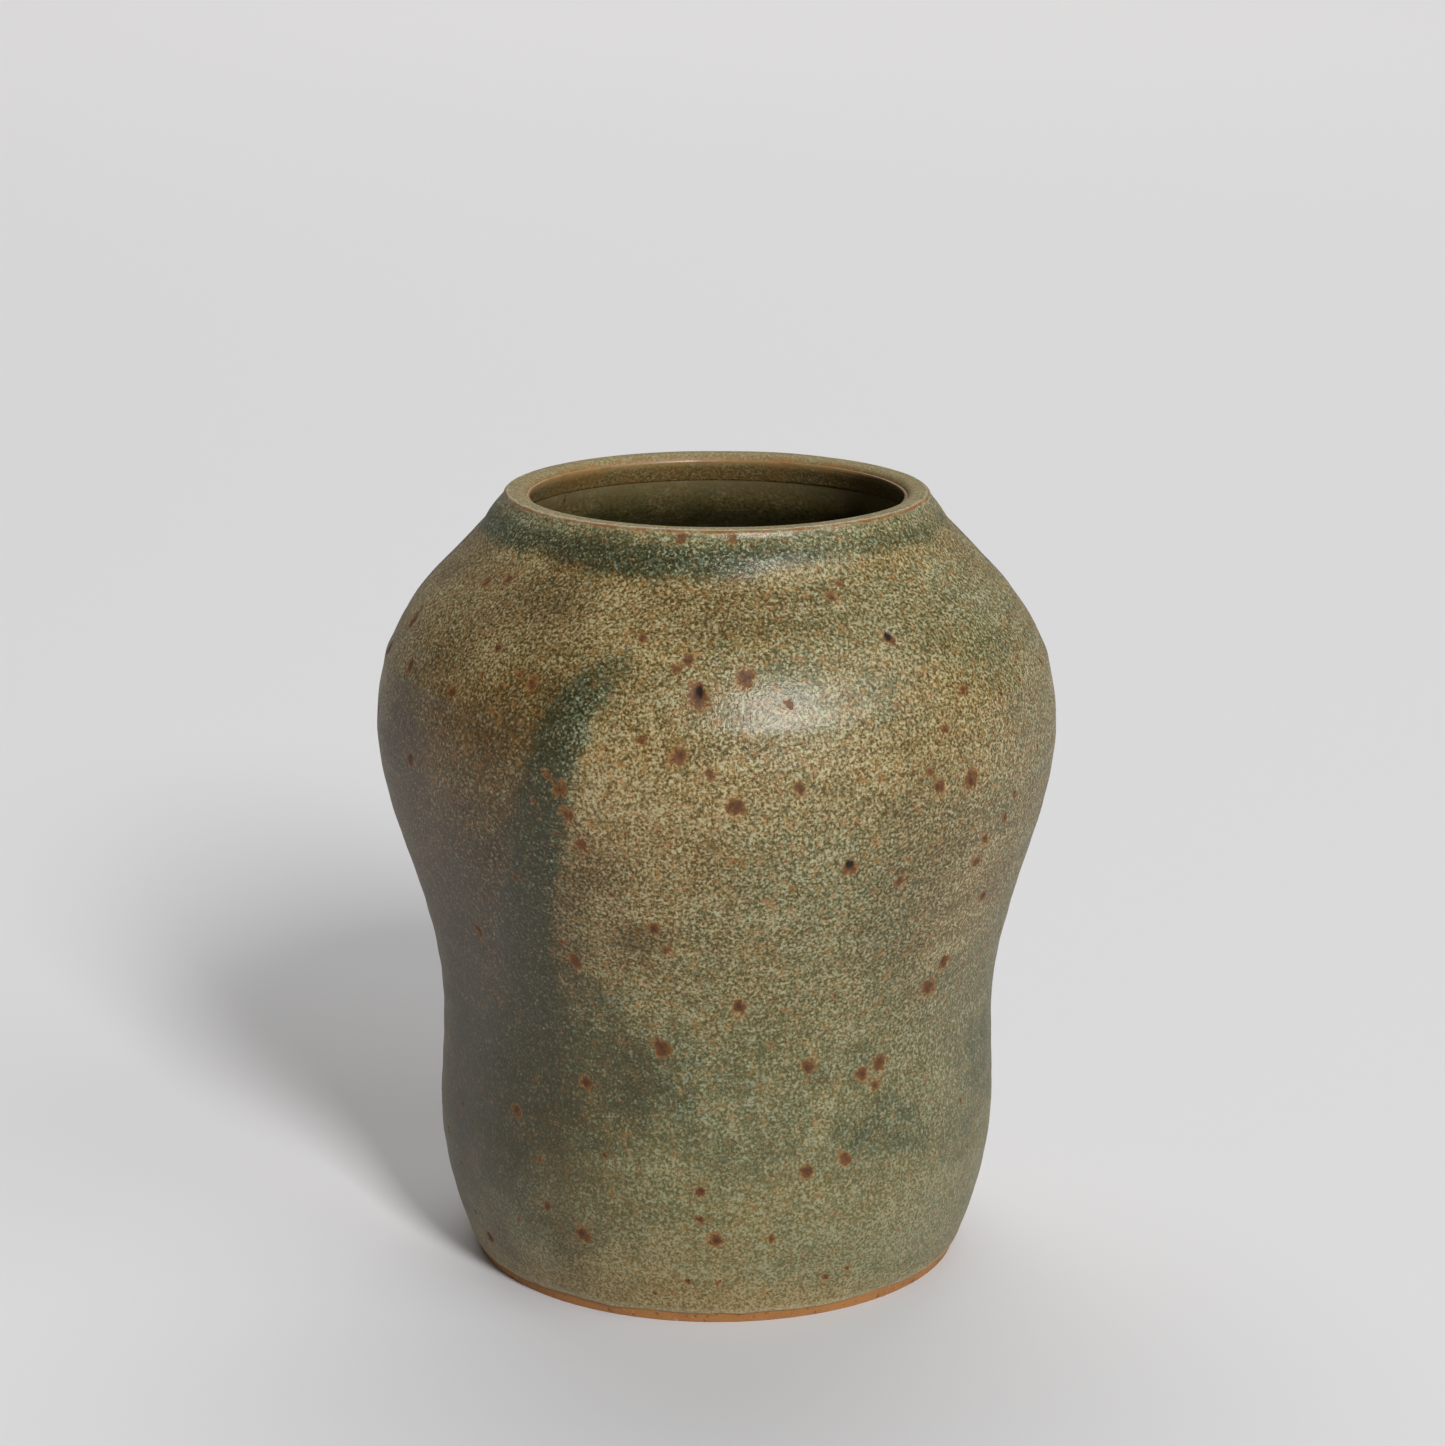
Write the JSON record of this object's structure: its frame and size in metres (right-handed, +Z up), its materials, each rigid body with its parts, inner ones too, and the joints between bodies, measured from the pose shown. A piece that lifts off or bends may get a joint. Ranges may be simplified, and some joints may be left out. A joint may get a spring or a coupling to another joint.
{
  "type": "ceramic bud vase",
  "caption": "Small wheel-thrown stoneware bud vase with a round belly, soft waist, wide open mouth and speckled green-tan glaze.",
  "frame": {"origin": "middle of the foot, on the surface the vase stands on", "axes": "+Z up along the axis the vase was thrown on, through the middle of the mouth; +X to the right and -Y towards the viewer"},
  "size_m": [0.09, 0.09, 0.104],
  "materials": {
    "bare_clay": "matte",
    "outer_glaze": "satin",
    "liner_glaze": "satin"
  },
  "bodies": {
    "root": {"clay_body": "bare_clay", "outer_glaze": "outer_glaze", "liner_glaze": "liner_glaze"}
  },
  "joints": []
}
